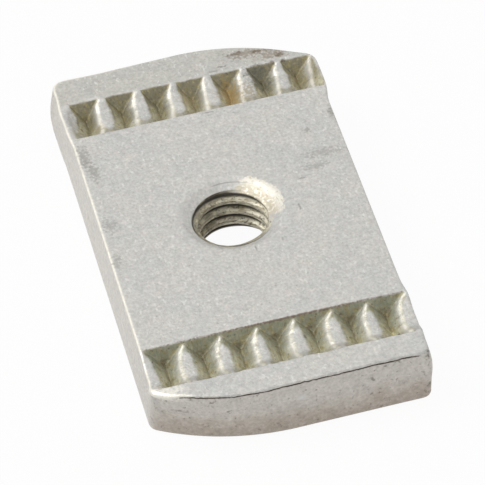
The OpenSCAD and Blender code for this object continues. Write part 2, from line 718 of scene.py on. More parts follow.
@dataclass
class ToothRow:
    """A shallow trough with vee pits pressed into it side by side.

    Attributes:
        side: End of the plate.
        first: Sideways place of the first pit.
        shifts: How far each pit lies off its even place.
        inner: Distance of the row's inner edge from the hole's axis.
        width: Width of the row.
        pitch: Distance from one pit to the next.
        depth: Depth of a pit.
        inner_run: Half width of a pit at its inner wall for each unit of its depth.
        outer_run: The same at its outer wall.
        lopsided: How much wider the right half of a pit is than its left half.
        tilt: Slope of the row's outer edge against its inner edge.
        inner_lean: How far the inner wall leans over the depth.
        outer_lean: How far the outer wall leans over the depth.
        drop: Depth of the trough.
        ends: Where the trough ends at the left and at the right.
        fall: Length over which the trough falls from the inner edge.
        rise: Length over which it rises to the outer edge.
        crest: Softness of the ridges.
        floor: Softness of the pits' creases.
        wander: How far the pits' outlines wander.
        dents: Depth of the small dents that the press leaves.
    """

    side: RowSide
    first: float
    shifts: tuple[float, ...]
    inner: float = 11.15
    width: float = 3.9
    pitch: float = 2.65
    depth: float = 1.3
    inner_run: float = 1.02
    outer_run: float = 0.77
    lopsided: float = 1.18
    tilt: float = 0.0
    inner_lean: float = 0.65
    outer_lean: float = 0.8
    drop: float = 0.5
    ends: Point = (-12.0, 12.0)
    fall: float = 1.3
    rise: float = 1.1
    crest: float = 0.62
    floor: float = 0.06
    wander: float = 0.28
    dents: float = 0.07

    FINE = 0.042
    OPEN = 0.078
    MARGIN = 0.22
    INNER_LINE = 0.05
    OUTER_LINE = 0.1
    HALF_LENGTH = 10.2
    BAND_EASE = (0.5, 0.6)
    END_EASE = 0.4
    SWAY = (0.9, 0.0)
    STRAY = (0.8, 40.0)
    DENT = (2.3, 80.0)
    RIDGE_LOW = -0.7
    RIDGE_CLIMB = 0.145
    RIDGE_TOP = 0.999
    SOFT_MARGIN = (0.0, 0.7)
    SOFT_LEAST = 0.3
    PIT_MARGIN = (0.0, 0.3)
    DENT_MARGIN = (-0.02, 0.2)
    IN_PIT = (0.02, 0.12)
    CLEAR = (-0.1, 0.15)
    RIGHT_HALF = (0.1, 0.3)
    LEFT_HALF = (-0.02, -0.2)
    HIP_BAND = (0.11, 0.02)
    SHOULDER_BAND = (0.22, 0.0)
    HEEL_START = (-0.02, 0.06)
    HEEL_END = (1.15, 0.35)
    PAINT = ("Hip", "Shoulder", "Climb", "Lee")

    def lattice(self) -> list[Point]:
        """Return the close points that the row's shape needs, in plan."""
        rows: list[float] = []
        across = -self.MARGIN
        while across < self.width + self.MARGIN:
            rows.append(across)
            lines = (across - self.INNER_LINE, across - self.width + self.OUTER_LINE)
            close = min(abs(away) for away in lines) < self.MARGIN
            across += self.FINE if close else self.OPEN
        columns = np.arange(-self.HALF_LENGTH, self.HALF_LENGTH, self.OPEN)
        return [(float(x), self.side.value * (self.inner + v)) for v in rows for x in columns]

    def sizes(self) -> dict[str, float]:
        """Return the named inputs of the row's node tree."""
        named = {
            "End": float(self.side.value), "Inner Edge": self.inner, "Row Width": self.width,
            "First Pit": self.first, "Pitch": self.pitch, "Pit Depth": self.depth,
            "Inner Run": self.inner_run, "Outer Run": self.outer_run,
            "Right Half": self.lopsided, "Outer Tilt": self.tilt,
            "Inner Lean": self.inner_lean, "Outer Lean": self.outer_lean,
            "Trough Depth": self.drop, "Left End": self.ends[0], "Right End": self.ends[1],
            "Trough Fall": self.fall, "Trough Rise": self.rise, "Crest Softness": self.crest,
            "Crease Softness": self.floor, "Wander": self.wander, "Dents": self.dents,
        }
        return named | {f"Shift {k + 1}": shift for k, shift in enumerate(self.shifts)}

    def locate(self, sheet: GeometrySheet) -> RowPlace:
        """Return where each point lies in the row, and the trough there."""
        size = sheet.size
        x, y, _ = sheet.split(sheet.position())
        even = y * size["End"] - size["Inner Edge"]
        width = size["Row Width"]
        band = even.ease(0.0, self.BAND_EASE[0]) * even.ease(width + self.BAND_EASE[1], width)
        x = x + sheet.uneven(*self.SWAY) * size["Wander"]
        across = even + sheet.uneven(*self.STRAY) * size["Wander"] * band
        left_over = x * size["Outer Tilt"] + width - across
        fall = across.ease(0.0, size["Trough Fall"])
        rise = left_over.ease(0.0, size["Trough Rise"])
        ends = (x - size["Left End"]).ease(-self.END_EASE, self.END_EASE)
        ends = ends * (size["Right End"] - x).ease(-self.END_EASE, self.END_EASE)
        trough = -(fall * rise * size["Trough Depth"]) * ends
        return RowPlace(x, across, left_over, fall, rise, ends, band, trough)

    def ridge_line(self, sheet: GeometrySheet, place: RowPlace) -> Value:
        """Return the height at which a ridge's flank turns over, which climbs along the ridge."""
        if self.side is RowSide.FAR:
            return (place.across * self.RIDGE_CLIMB + self.RIDGE_LOW).most(-place.rise)
        return ((place.trough - sheet.size["Trough Depth"]) * 0.5).most(-place.fall)

    def dig(self, sheet: GeometrySheet, place: RowPlace) -> dict[str, Value]:
        """Dig the pits one by one in a repeat zone.

        Args:
            sheet: The row's node tree.
            place: Where each point lies in the row.

        Returns:
            The row's height and, for the finish, its hips, its shoulders that take a painted
            highlight, its flanks and its lees.
        """
        size, count = sheet.size, len(self.shifts)
        depth, crease = size["Pit Depth"], size["Crease Softness"]
        inner = -(place.across * (depth / size["Inner Lean"]))
        outer = -(place.left_over * (depth / size["Outer Lean"]))
        walls = inner.calc("SMOOTH_MAX", outer, crease)
        share = place.across.calc("DIVIDE", size["Row Width"], clamp=True)
        run = share * (size["Outer Run"] - size["Inner Run"]) + size["Inner Run"]
        soft_share = place.within(*self.SOFT_MARGIN) * (1.0 - self.SOFT_LEAST) + self.SOFT_LEAST
        softness = size["Crest Softness"] * soft_share

        entry = sheet.node("GeometryNodeRepeatInput")
        leave = sheet.node("GeometryNodeRepeatOutput")
        entry.pair_with_output(leave)
        leave.repeat_items.clear()
        for name in ("Height", *self.PAINT):
            leave.repeat_items.new("FLOAT", name)
        sheet.feed(entry.inputs["Iterations"], count)
        sheet.feed(entry.inputs["Height"], place.trough)
        before = {name: Value(sheet, entry.outputs[name]) for name in ("Height", *self.PAINT)}
        step = Value(sheet, entry.outputs["Iteration"])
        choice = sheet.node("GeometryNodeIndexSwitch", data_type="FLOAT")
        while len(choice.index_switch_items) < count:
            choice.index_switch_items.new()
        sheet.feed(choice.inputs["Index"], step)
        for k in range(1, count + 1):
            sheet.feed(choice.inputs[k], size[f"Shift {k}"])

        middle = step * size["Pitch"] + size["First Pit"] + Value(sheet, choice.outputs[0])
        off = place.x - middle
        flank = (-off).most(off / size["Right Half"]) / run - depth
        pit = flank.calc("SMOOTH_MAX", walls, crease)
        inside = (place.trough - pit).ease(*self.IN_PIT)
        level = self.ridge_line(sheet, place)
        clear = (flank - walls).ease(*self.CLEAR)
        right = off.ease(*self.RIGHT_HALF) * clear
        climb = (flank + depth).calc("DIVIDE", level + depth, clamp=True)
        paint = {
            "Hip": abs(flank - walls).ease(*self.HIP_BAND) * inside,
            "Shoulder": abs(flank - level).ease(*self.SHOULDER_BAND) * right,
            "Climb": climb * climb.calc("LESS_THAN", self.RIDGE_TOP) * right,
            "Lee": off.ease(*self.LEFT_HALF) * clear * inside,
        }
        lower = before["Height"].calc("SMOOTH_MIN", pit, softness)
        sheet.feed(leave.inputs["Height"], lower)
        for name, value in paint.items():
            sheet.feed(leave.inputs[name], before[name].most(value))
        return {name: Value(sheet, leave.outputs[name]) for name in before}

    def press(self, plate: bpy.types.Object, material: bpy.types.Material) -> None:
        """Press the row into the plate with a node tree.

        Args:
            plate: The flat plate.
            material: The finish.
        """
        sheet = GeometrySheet(f"press_{self.side.name.lower()}_row", self.sizes())
        size = sheet.size
        place = self.locate(sheet)
        dug = self.dig(sheet, place)
        weight = sheet.attribute("press")
        reach = size["Pit Depth"] - size["Trough Depth"]
        sunk = (place.trough - dug["Height"]).calc("DIVIDE", reach, clamp=True)
        sheet.raise_to("pit", sunk * weight)
        in_pits = place.within(*self.PIT_MARGIN)
        for name in self.PAINT:
            value = dug[name] if name == "Hip" else dug[name] * in_pits
            sheet.raise_to(name.lower(), value * weight)
        near_edge = place.across if self.side is RowSide.FAR else place.left_over
        # Painted shade: marks the ridges' feet toward the near end, which the finish darkens.
        heel_shade = near_edge.ease(*self.HEEL_END) * near_edge.ease(*self.HEEL_START)
        sheet.raise_to("heel_shade", heel_shade * place.band * place.ends * weight)
        dent = sheet.uneven(*self.DENT) * size["Dents"] * place.within(*self.DENT_MARGIN)
        x, y, z = sheet.split(sheet.position())
        sheet.place(x, y, (dug["Height"] + dent) * weight + z)
        sheet.apply(plate, material)


@dataclass
class NutPlate:
    """The whole nut: the sheared plate, its two tooth rows and its hole.

    Attributes:
        crown: Plan of the plate at its top edge.
        foot: Plan of the plate at its foot.
        rows: The tooth rows.
        hole: The bolt hole.
        bulges: Places where the edge stands out or in.
        fold: Seam under the near top edge.
        thickness: Thickness of the plate.
        rim_drop: How far the end rims lie below the middle.
        top_round: Rounding of the top edge.
        foot_round: Rounding of the edge round the underside.
        foot_height: Height of the upright foot of the sides.
        press_foot: Height above which the press moved the sides.
        around: Number of points round the outline.
    """

    crown: Outline
    foot: Outline
    rows: tuple[ToothRow, ...]
    hole: BoltHole
    bulges: tuple[Bulge, ...] = ()
    fold: Fold = Fold()
    thickness: float = 5.0
    rim_drop: float = 0.05
    top_round: float = 0.16
    foot_round: float = 0.55
    foot_height: float = 1.2
    press_foot: float = 1.6
    around: int = 900

    RIM_INSETS = (0.3, 0.14, 0.04)
    TOP_STEPS = 5
    FOOT_STEPS = 6
    FOLD_BAND = 0.55
    FINE_STEP = 0.03
    SIDE_STEP = 0.25
    SMOOTHING = 30
    WORN_RING = 5
    WORN_RINGS = 12
    ROW_MARGIN = 0.3
    TOP_SPACING = 0.7
    UNDER_SPACING = 1.4
    RIM_GAP = 0.05
    HOLE_GAP = 0.1
    MERGE = 1e-7
    HALF_SPAN = (10.0, 18.0)
    STAGGER = 0.866

    def heights(self) -> list[Point]:
        """Return each ring's height and how far its rounding stands in, from the top down."""
        rings = [(self.thickness, self.top_round + inset) for inset in self.RIM_INSETS]
        for k in range(self.TOP_STEPS + 1):
            angle = math.radians(90.0 / self.TOP_STEPS * k)
            drop = self.top_round * (1.0 - math.cos(angle))
            rings.append((self.thickness - drop, self.top_round * (1.0 - math.sin(angle))))
        height = self.thickness - self.top_round
        while height > self.foot_round + self.SIDE_STEP:
            in_band = height > self.thickness - self.FOLD_BAND
            height -= self.FINE_STEP if in_band else self.SIDE_STEP
            rings.append((height, 0.0))
        for k in range(self.FOOT_STEPS + 1):
            angle = math.radians(90.0 / self.FOOT_STEPS * k)
            rise = self.foot_round * (1.0 - math.sin(angle))
            rings.append((rise, self.foot_round * (1.0 - math.cos(angle))))
        return rings

    def ring_plan(self, angles: np.ndarray, foot: np.ndarray, crown: np.ndarray,
                  height: float) -> np.ndarray:
        """Return the plate's outline at one height.

        Args:
            angles: Directions of the points.
            foot: Distances of the foot in those directions.
            crown: Distances of the top edge in those directions.
            height: The height.

        Returns:
            Points in plan.
        """
        share = self.share_above(self.foot_height, height, self.thickness)
        reach = foot * (1.0 - share) + crown * share
        plan = np.stack((reach * np.cos(angles), reach * np.sin(angles)), axis=1)
        out = sum((bulge.stand_out(plan, height) for bulge in self.bulges), np.zeros(len(plan)))
        out -= self.fold.depth * self.fold.open_at(plan, height)
        return plan + self.outward(plan) * out[:, None]

    @staticmethod
    def share_above(low: float, height: float, high: float) -> float:
        """Return how far a height is from a low one to a high one, from 0 to 1."""
        return min(1.0, max(0.0, (height - low) / (high - low)))

    @staticmethod
    def outward(plan: np.ndarray) -> np.ndarray:
        """Return the outward direction at each point of a closed ring."""
        along = np.roll(plan, -1, axis=0) - np.roll(plan, 1, axis=0)
        along /= np.hypot(along[:, 0], along[:, 1])[:, None]
        eased = sum(np.roll(along, k, axis=0) for k in range(-4, 5))
        eased /= np.hypot(eased[:, 0], eased[:, 1])[:, None]
        return np.stack((eased[:, 1], -eased[:, 0]), axis=1)

    def rim_at(self, y: np.ndarray) -> np.ndarray:
        """Return how far the top face lies below its middle at distances along the plate."""
        away = np.abs(y) - self.rows[0].inner - self.rows[0].width * 0.5
        return self.rim_drop * np.clip(away + 0.5, 0.0, 1.0)

    def top_height(self, x: float, y: float) -> float:
        """Return the height of the top face at a point."""
        return self.thickness - float(self.rim_at(np.array(y)))

    def skin(self, draft: MeshDraft, outer: Sequence[int], inner: Sequence[int],
             fill: list[Point], height: Callable[[float, float], float], zone: Zone) -> None:
        """Fill the flat face between the outline and the hole with triangles.

        Args:
            draft: The plate's mesh.
            outer: Ring round the face.
            inner: Ring round the hole.
            fill: Further points in plan.
            height: Height of the face at a point.
            zone: Part of the surface.
        """
        rim = [draft.points[k][:2] for k in outer]
        hole = [draft.points[k][:2] for k in inner]
        spots = np.array(fill)
        angles, away = directions(spots)
        keep = away < reach_of(np.array(rim), angles) - self.RIM_GAP
        spots = spots[keep & (away > math.hypot(*hole[0]) + self.HOLE_GAP)]
        press = 1.0 if zone is Zone.TOP else 0.0
        made = draft.add([(x, y, height(x, y)) for x, y in spots], zone, press=press)
        index = [*outer, *inner, *made]
        plan = [Vector(p) for p in (*rim, *hole, *spots)]
        n_rim, n_hole = len(rim), len(hole)
        edges = [(k, (k + 1) % n_rim) for k in range(n_rim)]
        edges += [(n_rim + k, n_rim + (k + 1) % n_hole) for k in range(n_hole)]
        result = delaunay_2d_cdt(plan, edges, [], 0, self.MERGE, True)
        origin = [items[0] for items in result[3]]
        for face in result[2]:
            ids = [origin[k] for k in face]
            if all(n_rim <= k < n_rim + n_hole for k in ids):
                continue
            on_rim = all(k < n_rim for k in ids)
            if on_rim:
                ids.sort()
            turn = (plan[ids[1]] - plan[ids[0]]).cross(plan[ids[2]] - plan[ids[0]])
            if on_rim and turn <= 0.0:
                continue
            if (turn > 0) != (zone is Zone.TOP):
                ids.reverse()
            draft.faces.append(tuple(index[k] for k in ids))

    def field_points(self, spacing: float) -> list[Point]:
        """Return evenly staggered points over the plate in plan."""
        half_x, half_y = self.HALF_SPAN
        points = []
        for j, y in enumerate(np.arange(-half_y, half_y, spacing * self.STAGGER)):
            shift = spacing * 0.5 * (j % 2)
            points += [(float(x + shift), float(y)) for x in np.arange(-half_x, half_x, spacing)]
        return points

    def even_angles(self) -> np.ndarray:
        """Return the directions of points that are evenly spaced round the top edge."""
        trace = self.crown.trace()
        steps = np.hypot(*(np.roll(trace, -1, axis=0) - trace).T)
        length = np.concatenate(([0.0], np.cumsum(steps)))
        spots = np.linspace(0.0, length[-1], self.around, endpoint=False)
        closed = np.vstack((trace, trace[:1]))
        even = np.stack([np.interp(spots, length, closed[:, k]) for k in range(2)], axis=1)
        return directions(even)[0]

    def sides(self, draft: MeshDraft) -> list[range]:
        """Add the sides of the plate, ring by ring from the top down.

        Args:
            draft: The plate's mesh.

        Returns:
            The rings.
        """
        angles = self.even_angles()
        foot, crown = (reach_of(plan.trace(), angles) for plan in (self.foot, self.crown))
        edge = self.thickness - self.top_round
        rings = []
        for number, (height, inset) in enumerate(self.heights()):
            plan = self.ring_plan(angles, foot, crown, height)
            plan = plan - self.outward(plan) * inset
            for _ in range(round(inset * self.SMOOTHING)):
                plan = (np.roll(plan, 1, axis=0) + 2.0 * plan + np.roll(plan, -1, axis=0)) / 4.0
            press = self.share_above(self.press_foot, height, edge)
            drop = self.rim_at(plan[:, 1]) * press
            wear_and_highlight = math.exp(-((number - self.WORN_RING) / 2.0) ** 2)
            rings.append(draft.add(
                [(x, y, height - d) for (x, y), d in zip(plan, drop)], Zone.SIDE, press=press,
                edge=wear_and_highlight if number < self.WORN_RINGS else 0.0,
                fold=self.fold.open_at(plan, height), side=1.0 if height < edge - 0.01 else 0.0))
        for upper, lower in zip(rings, rings[1:]):
            draft.bridge(upper, lower)
        return rings

    def blank(self) -> bpy.types.Object:
        """Return the plate with its smooth hole, before the press and the tap."""
        draft = MeshDraft()
        rings = self.sides(draft)
        top_hole, under_hole = self.hole.line(draft, self.thickness)
        lattice = [point for row in self.rows for point in row.lattice()]
        margin = self.ROW_MARGIN
        bands = [(row.side.value, row.inner - margin, row.inner + row.width + margin)
                 for row in self.rows]
        lattice += [(x, y) for x, y in self.field_points(self.TOP_SPACING)
                    if not any(low < y * end < high for end, low, high in bands)]
        self.skin(draft, rings[0], top_hole, lattice, self.top_height, Zone.TOP)
        under = self.field_points(self.UNDER_SPACING)
        self.skin(draft, rings[-1], under_hole, under, lambda x, y: 0.0, Zone.UNDER)
        return draft.build("channel_nut_blank")

    def make(self, material: bpy.types.Material) -> bpy.types.Object:
        """Return the finished nut as one plain mesh.

        Args:
            material: The finish.

        Returns:
            The nut.
        """
        blank = self.blank()
        for row in self.rows:
            row.press(blank, material)
        self.hole.cut_thread(blank, self.thickness, material)
        evaluated = blank.evaluated_get(bpy.context.evaluated_depsgraph_get())
        mesh = bpy.data.meshes.new_from_object(evaluated)
        mesh.name = "zinc_nut"
        nut = bpy.data.objects.new("zinc_nut", mesh)
        bpy.context.scene.collection.objects.link(nut)
        bpy.data.objects.remove(blank, do_unlink=True)
        LOG.info("zinc_nut: %d points, %d faces", len(mesh.vertices), len(mesh.polygons))
        return nut


# --------------------------------------------------------------------------- the finish


@dataclass(frozen=True)
class Clouds:
    """A soft random pattern, about 0.5 on average.

    Attributes:
        scale: Number of features in a millimetre.
        detail: How many finer layers it has.
        shift: Move along all axes, which makes another pattern.
        stretch: Scale along each axis.
    """

    scale: float
    detail: float = 3.0
    shift: float = 0.0
    stretch: Point3 = (1.0, 1.0, 1.0)


@dataclass(frozen=True)
class Patches:
    """Places that a soft random pattern picks out.

    Attributes:
        clouds: The pattern.
        low: Number in it where the result starts to change.
        high: Number where it ends.
        start: Result at the low end.
        end: Result at the high end.
    """

    clouds: Clouds
    low: float
    high: float
    start: float = 0.0
    end: float = 1.0


class Pattern:
    """The finish's random patterns."""

    PALE = Patches(Clouds(0.35), 0.3, 0.7)
    WARM = Patches(Clouds(1.3, shift=7.0), 0.5, 0.8)
    TIDE = Clouds(0.8, shift=19.0)
    END_SPECKS = Patches(Clouds(3.0, shift=31.0), 0.60, 0.74)
    GRAIN = Clouds(4.6, shift=3.0)
    MOTTLE = Clouds(1.5, 2.0, 71.0)
    BLUSH = Patches(Clouds(3.0, 2.0, 73.0), 0.52, 0.72)
    FLECKS = Patches(Clouds(3.6, 2.0, 13.0, (1.0, 0.6, 1.0)), 0.60, 0.72)
    SPECKS = Patches(Clouds(3.4, 1.0, 17.0), 0.30, 0.22)
    HAIRS = Patches(Clouds(1.0, 2.0, 23.0, (1.2, 9.0, 1.0)), 0.30, 0.22)
    BLOTCHES = Clouds(2.2, 4.0, 11.0)
    OIL = Patches(Clouds(2.6, 4.0, 53.0), 0.48, 0.66)
    PIT_GRIT = Patches(Clouds(4.5, shift=59.0), 0.42, 0.28)
    DRAWN = Clouds(1.0, 3.0, 79.0, (8.0, 1.6, 1.6))
    HIPS = Patches(Clouds(1.7, 2.0, 29.0), 0.42, 0.6)
    GLINTS = Patches(Clouds(3.6, shift=89.0), 0.56, 0.72)
    SHOULDERS = Patches(Clouds(2.1, shift=41.0), 0.3, 0.5, 0.6, 1.0)
    RAGGED = Clouds(2.5, shift=61.0)
    SPARKLE = Patches(Clouds(4.5, shift=91.0), 0.52, 0.66)
    PORES = Patches(Clouds(4.0, shift=97.0), 0.42, 0.30)
    STREAKS = Patches(Clouds(1.5, 4.0, 37.0, (0.8, 0.8, 6.0)), 0.34, 0.56)
    THREAD_GRIT = Patches(Clouds(4.5, 3.0, 101.0, (1.0, 1.0, 1.6)), 0.46, 0.32)
    GRIME = Patches(Clouds(1.6, 4.0, 43.0, (1.0, 1.0, 3.0)), 0.62, 0.40)
    LEDGE = Patches(Clouds(1.3, shift=83.0), 0.3, 0.5, 0.4, 1.0)
    EDGE = Patches(Clouds(1.4, shift=5.0), 0.2, 0.46)
    SEAM = Clouds(4.0, shift=67.0)
    ROUGH = Clouds(3.0, shift=9.0)
    FINE_RELIEF = Clouds(6.0, 4.0, 2.0)
    WIDE_RELIEF = Clouds(1.5, 2.0)


@dataclass(frozen=True)
class Mark:
    """A stain, speck, smudge, painted highlight or painted shadow at one place.

    Attributes:
        at: Its middle.
        size: Its half lengths along X, Y and Z.
        colour: Its colour.
        strength: How much of that colour covers the plating.
        broken: How ragged it is, from 0 to 1.
    """

    at: Point3
    size: Point3
    colour: Colour
    strength: float
    broken: float = 0.5


class ShaderSheet(NodeSheet):
    """A material's node tree, with short calls for its patterns."""

    def __init__(self, tree: bpy.types.NodeTree) -> None:
        """Take the material's tree and set up the place in millimetres."""
        super().__init__(tree)
        place = self.value("ShaderNodeTexCoord", output="Object")
        self.place = self.value("ShaderNodeMapping", {"Vector": place, "Scale": (1.0 / MM,) * 3})

    def attribute(self, name: str) -> Value:
        """Read a named number of the surface."""
        return self.value("ShaderNodeAttribute", (), "Fac", attribute_name=name)

    def clouds(self, shape: Clouds) -> Value:
        """Return a soft random pattern."""
        inputs = {"Vector": self.place, "Location": (shape.shift,) * 3, "Scale": shape.stretch}
        moved = self.value("ShaderNodeMapping", inputs)
        inputs = {"Vector": moved, "Scale": shape.scale, "Detail": shape.detail}
        return self.value("ShaderNodeTexNoise", inputs)

    def patches(self, shape: Patches) -> Value:
        """Return the places that a pattern picks out."""
        return self.clouds(shape.clouds).ease(shape.low, shape.high, shape.start, shape.end)

    def mix(self, share: Any, low: Any, high: Any, blend: str = "MIX") -> Value:
        """Mix two colours.

        Args:
            share: Share of the second.
            low: The first colour.
            high: The second colour.
            blend: How they are mixed.

        Returns:
            The mixed colour.
        """
        made = self.node("ShaderNodeMix", data_type="RGBA", blend_type=blend)
        sockets = {socket.identifier: socket for socket in made.inputs}
        for key, value in (("Factor_Float", share), ("A_Color", low), ("B_Color", high)):
            self.feed(sockets[key], (*value, 1.0) if isinstance(value, tuple) else value)
        mixed = {socket.identifier: socket for socket in made.outputs}
        return Value(self, mixed["Result_Color"])

    def shade(self, tone: Value, amount: Value) -> Value:
        """Return a colour made lighter or darker by a factor."""
        return self.mix(1.0, tone, self.unite(amount, amount, amount), "MULTIPLY")

    def spot(self, mark: Mark) -> Value:
        """Return how much a mark covers each point."""
        offset = self.vector("SUBTRACT", self.place, mark.at)
        away = self.vector("LENGTH", self.vector("DIVIDE", offset, mark.size))
        ragged = self.clouds(Clouds(4.5, 4.0, mark.at[0])) * (3.0 * mark.broken)
        return (away + (ragged - 1.5 * mark.broken)).ease(1.0, 0.2) * mark.strength


@dataclass(frozen=True)
class ZincFinish:
    """Matte grey zinc plating on steel, a little rubbed and stained, with painted light and shade
    in places.

    Attributes:
        plating: Colour of the flat faces.
        warm: Colour of their warmer patches.
        cool: Colour of their cooler patches.
        fleck: Colour of the bright flecks of the plating.
        speck: Colour of its dark specks.
        blush: Colour of its faint pink patches.
        sheared: Colour of the sheared sides.
        rim_dirt: Colour of the thin dirt on the far rim.
        end_low_tone: Browner, darker colour of the sheared ends towards the bottom.
        pit_wall: Colour of the near pits, where oil and dirt stay, darkened further as painted
            shade.
        far_wall: Colour of the far pits, darker still as painted shade.
        pit_tint_and_light: Lighter, yellower colour of the pits' walls toward the near end and on
            their lee flanks, partly their own tint and partly painted light.
        heel_shade: Colour of the painted shade on the ridges' feet toward the near end.
        pit_floor: Colour of the oily dirt at the bottom of the pits.
        steel: Colour of the machined countersink's outer part where it is painted bright as a
            highlight on the side facing the light.
        turned: Colour of its inner part there.
        bore: Colour of the thread.
        thread: Colour of its bright streaks, partly real streaks and partly a painted highlight
            on the lit side.
        grime_and_shade: Colour of the dirt in the thread and of the painted shade in its roots,
            under the step where it starts and on the side away from the light.
        bright: Colour of the rubbed left edge and of painted highlights on it, on the ridges'
            shoulders and in the countersink.
        gilt: Colour of the lighter golden lines along the pits' hips and of the glints in the
            pits.
        rust_and_shade: Colour of the seam, of the darkest dirt and of the painted shade in the
            pits' creases.
        ledge_r: Radius of the line of painted shade where the thread starts.
        scratch_r: Radius of the scratch in the countersink.
        bright_r: Radius of the countersink's part that is painted bright as a highlight.
        lit_side: Direction of the hole's wall that faces the light.
        metallic: Share of metal in the finish.
        roughness: Roughness of the flat faces.
        marks: Single stains, specks and smudges, and a few painted highlights and shadows.
    """

    plating: Colour = (0.61, 0.60, 0.56)
    warm: Colour = (0.655, 0.625, 0.59)
    cool: Colour = (0.575, 0.575, 0.555)
    fleck: Colour = (0.84, 0.83, 0.79)
    speck: Colour = (0.34, 0.33, 0.31)
    blush: Colour = (0.70, 0.62, 0.58)
    sheared: Colour = (0.69, 0.66, 0.61)
    rim_dirt: Colour = (0.44, 0.43, 0.36)
    end_low_tone: Colour = (0.40, 0.33, 0.26)
    pit_wall: Colour = (0.32, 0.325, 0.235)
    far_wall: Colour = (0.25, 0.23, 0.15)
    pit_tint_and_light: Colour = (0.56, 0.53, 0.37)
    heel_shade: Colour = (0.36, 0.35, 0.33)
    pit_floor: Colour = (0.33, 0.28, 0.12)
    steel: Colour = (0.80, 0.77, 0.68)
    turned: Colour = (0.65, 0.59, 0.46)
    bore: Colour = (0.47, 0.41, 0.27)
    thread: Colour = (0.92, 0.87, 0.70)
    grime_and_shade: Colour = (0.04, 0.032, 0.018)
    bright: Colour = (0.92, 0.88, 0.78)
    gilt: Colour = (0.80, 0.68, 0.38)
    rust_and_shade: Colour = (0.10, 0.07, 0.045)
    ledge_r: float = 2.83
    scratch_r: float = 3.37
    bright_r: float = 3.65
    lit_side: Point = (0.866, 0.5)
    metallic: float = 0.35
    roughness: float = 0.5
    marks: tuple[Mark, ...] = ()

    def plate_tone(self, sheet: ShaderSheet) -> Value:
        """Return the mottled colour of the plating, warmer and speckled on the sheared faces and
        darker towards the bottom of the ends.
        """
        side = sheet.attribute("side")
        _, y, z = sheet.split(sheet.place)
        tone = sheet.mix(sheet.patches(Pattern.PALE), self.cool, self.plating)
        tone = sheet.mix(sheet.patches(Pattern.WARM), tone, self.warm)
        tone = sheet.mix(y.ease(14.7, 15.1) * 0.3, tone, self.rim_dirt)
        tone = sheet.mix(side * 0.8, tone, self.sheared)
        end = y.ease(14.5, 16.5).most(y.ease(-13.9, -14.9))
        low = z + (sheet.clouds(Pattern.TIDE) * 3.0 - 1.5)
        tone = sheet.mix(low.ease(3.4, 0.4, 0.12, 0.8) * end * side, tone, self.end_low_tone)
        specks = sheet.patches(Pattern.END_SPECKS) * side * (end * 0.5 + 0.1)
        return sheet.mix(specks, tone, self.rust_and_shade)

    def grainy(self, sheet: ShaderSheet, tone: Value) -> Value:
        """Return the colour with the plating's grain, flecks, specks and hair scratches."""
        grain = sheet.clouds(Pattern.GRAIN) * 0.64 + 0.67
        tone = sheet.shade(tone, grain * (sheet.clouds(Pattern.MOTTLE) * 0.26 + 0.87))
        tone = sheet.mix(sheet.patches(Pattern.BLUSH) * 0.35, tone, self.blush)
        flecks = sheet.patches(Pattern.FLECKS) * (sheet.attribute("side") * -0.4 + 0.5)
        tone = sheet.mix(flecks, tone, self.fleck)
        tone = sheet.mix(sheet.patches(Pattern.SPECKS) * 0.5, tone, self.speck)
        return sheet.mix(sheet.patches(Pattern.HAIRS) * 0.4, tone, self.speck)

    def pit_tone(self, sheet: ShaderSheet, tone: Value) -> Value:
        """Return the colour with the dirt in the pits and painted light and shade on their walls
        and ridges.
        """
        pit, climb = sheet.attribute("pit"), sheet.attribute("climb")
        blotch = sheet.clouds(Pattern.BLOTCHES) * 0.9 - 0.45
        y = sheet.split(sheet.place)[1]
        far = y.ease(-1.0, 1.0)
        # The pits' olive walls: dirt and tint, made darker still as painted shade.
        wall = sheet.mix(far, self.pit_wall, self.far_wall)
        # Lighter, yellower walls toward the near end, partly tint and partly painted light, most
        # on the lee flanks.
        close = y.ease(-12.9, -14.0).most(y.ease(13.3, 11.8) * far)
        wall = sheet.mix(close * 0.65, wall, self.pit_tint_and_light)
        close = y.ease(-12.2, -13.3).most(y.ease(14.7, 12.9) * far) * sheet.attribute("lee")
        wall = sheet.mix(close * 0.75, wall, self.pit_tint_and_light)
        wall = sheet.mix(sheet.patches(Pattern.OIL) * 0.7, wall, self.pit_floor)
        wall = sheet.mix(sheet.patches(Pattern.PIT_GRIT) * 0.7, wall, self.rust_and_shade)
        inside = pit.ease(0.0, 0.1)
        open_air = climb.calc("POWER", 2.0) + blotch * 0.4
        cover = (blotch * 0.3 + pit).ease(-0.02, 0.16) * inside
        cover = cover * open_air.calc("MULTIPLY_ADD", -1.05, 1.1, clamp=True)
        wall = sheet.shade(wall, sheet.clouds(Pattern.DRAWN) * 0.7 + 0.65)
        tone = sheet.mix(cover * 0.96, tone, wall)
        deep = (pit + blotch - climb * 0.6).ease(0.6, 1.3) * inside
        tone = sheet.mix(deep * 0.6, tone, self.pit_floor)
        hip = sheet.attribute("hip") * sheet.patches(Pattern.HIPS) * pit.ease(0.75, 0.35)
        tone = sheet.mix(hip * 0.3, tone, self.gilt)
        # Painted shade in the pits' creases.
        crease = pit.ease(0.84, 0.98) * blotch.ease(-0.2, 0.1)
        tone = sheet.mix(crease * 0.5, tone, self.rust_and_shade)
        tone = sheet.mix(sheet.patches(Pattern.GLINTS) * inside * 0.25, tone, self.gilt)
        # Painted shade on the ridges' feet toward the near end.
        tone = sheet.mix(sheet.attribute("heel_shade") * (far * 0.2 + 0.5), tone, self.heel_shade)
        # Painted highlight along the ridges' rounded shoulders.
        wear_and_highlight = sheet.attribute("shoulder") * sheet.patches(Pattern.SHOULDERS)
        return sheet.mix(wear_and_highlight * (far * 0.2 + 0.6), tone, self.bright)

    def round_hole(self, sheet: ShaderSheet) -> tuple[Value, Value]:
        """Return each point's distance from the hole's axis, and 1 to -1 from its lit side on."""
        x, y, _ = sheet.split(sheet.place)
        radius = sheet.vector("LENGTH", sheet.unite(x, y, 0.0))
        return radius, (x * self.lit_side[0] + y * self.lit_side[1]) / radius

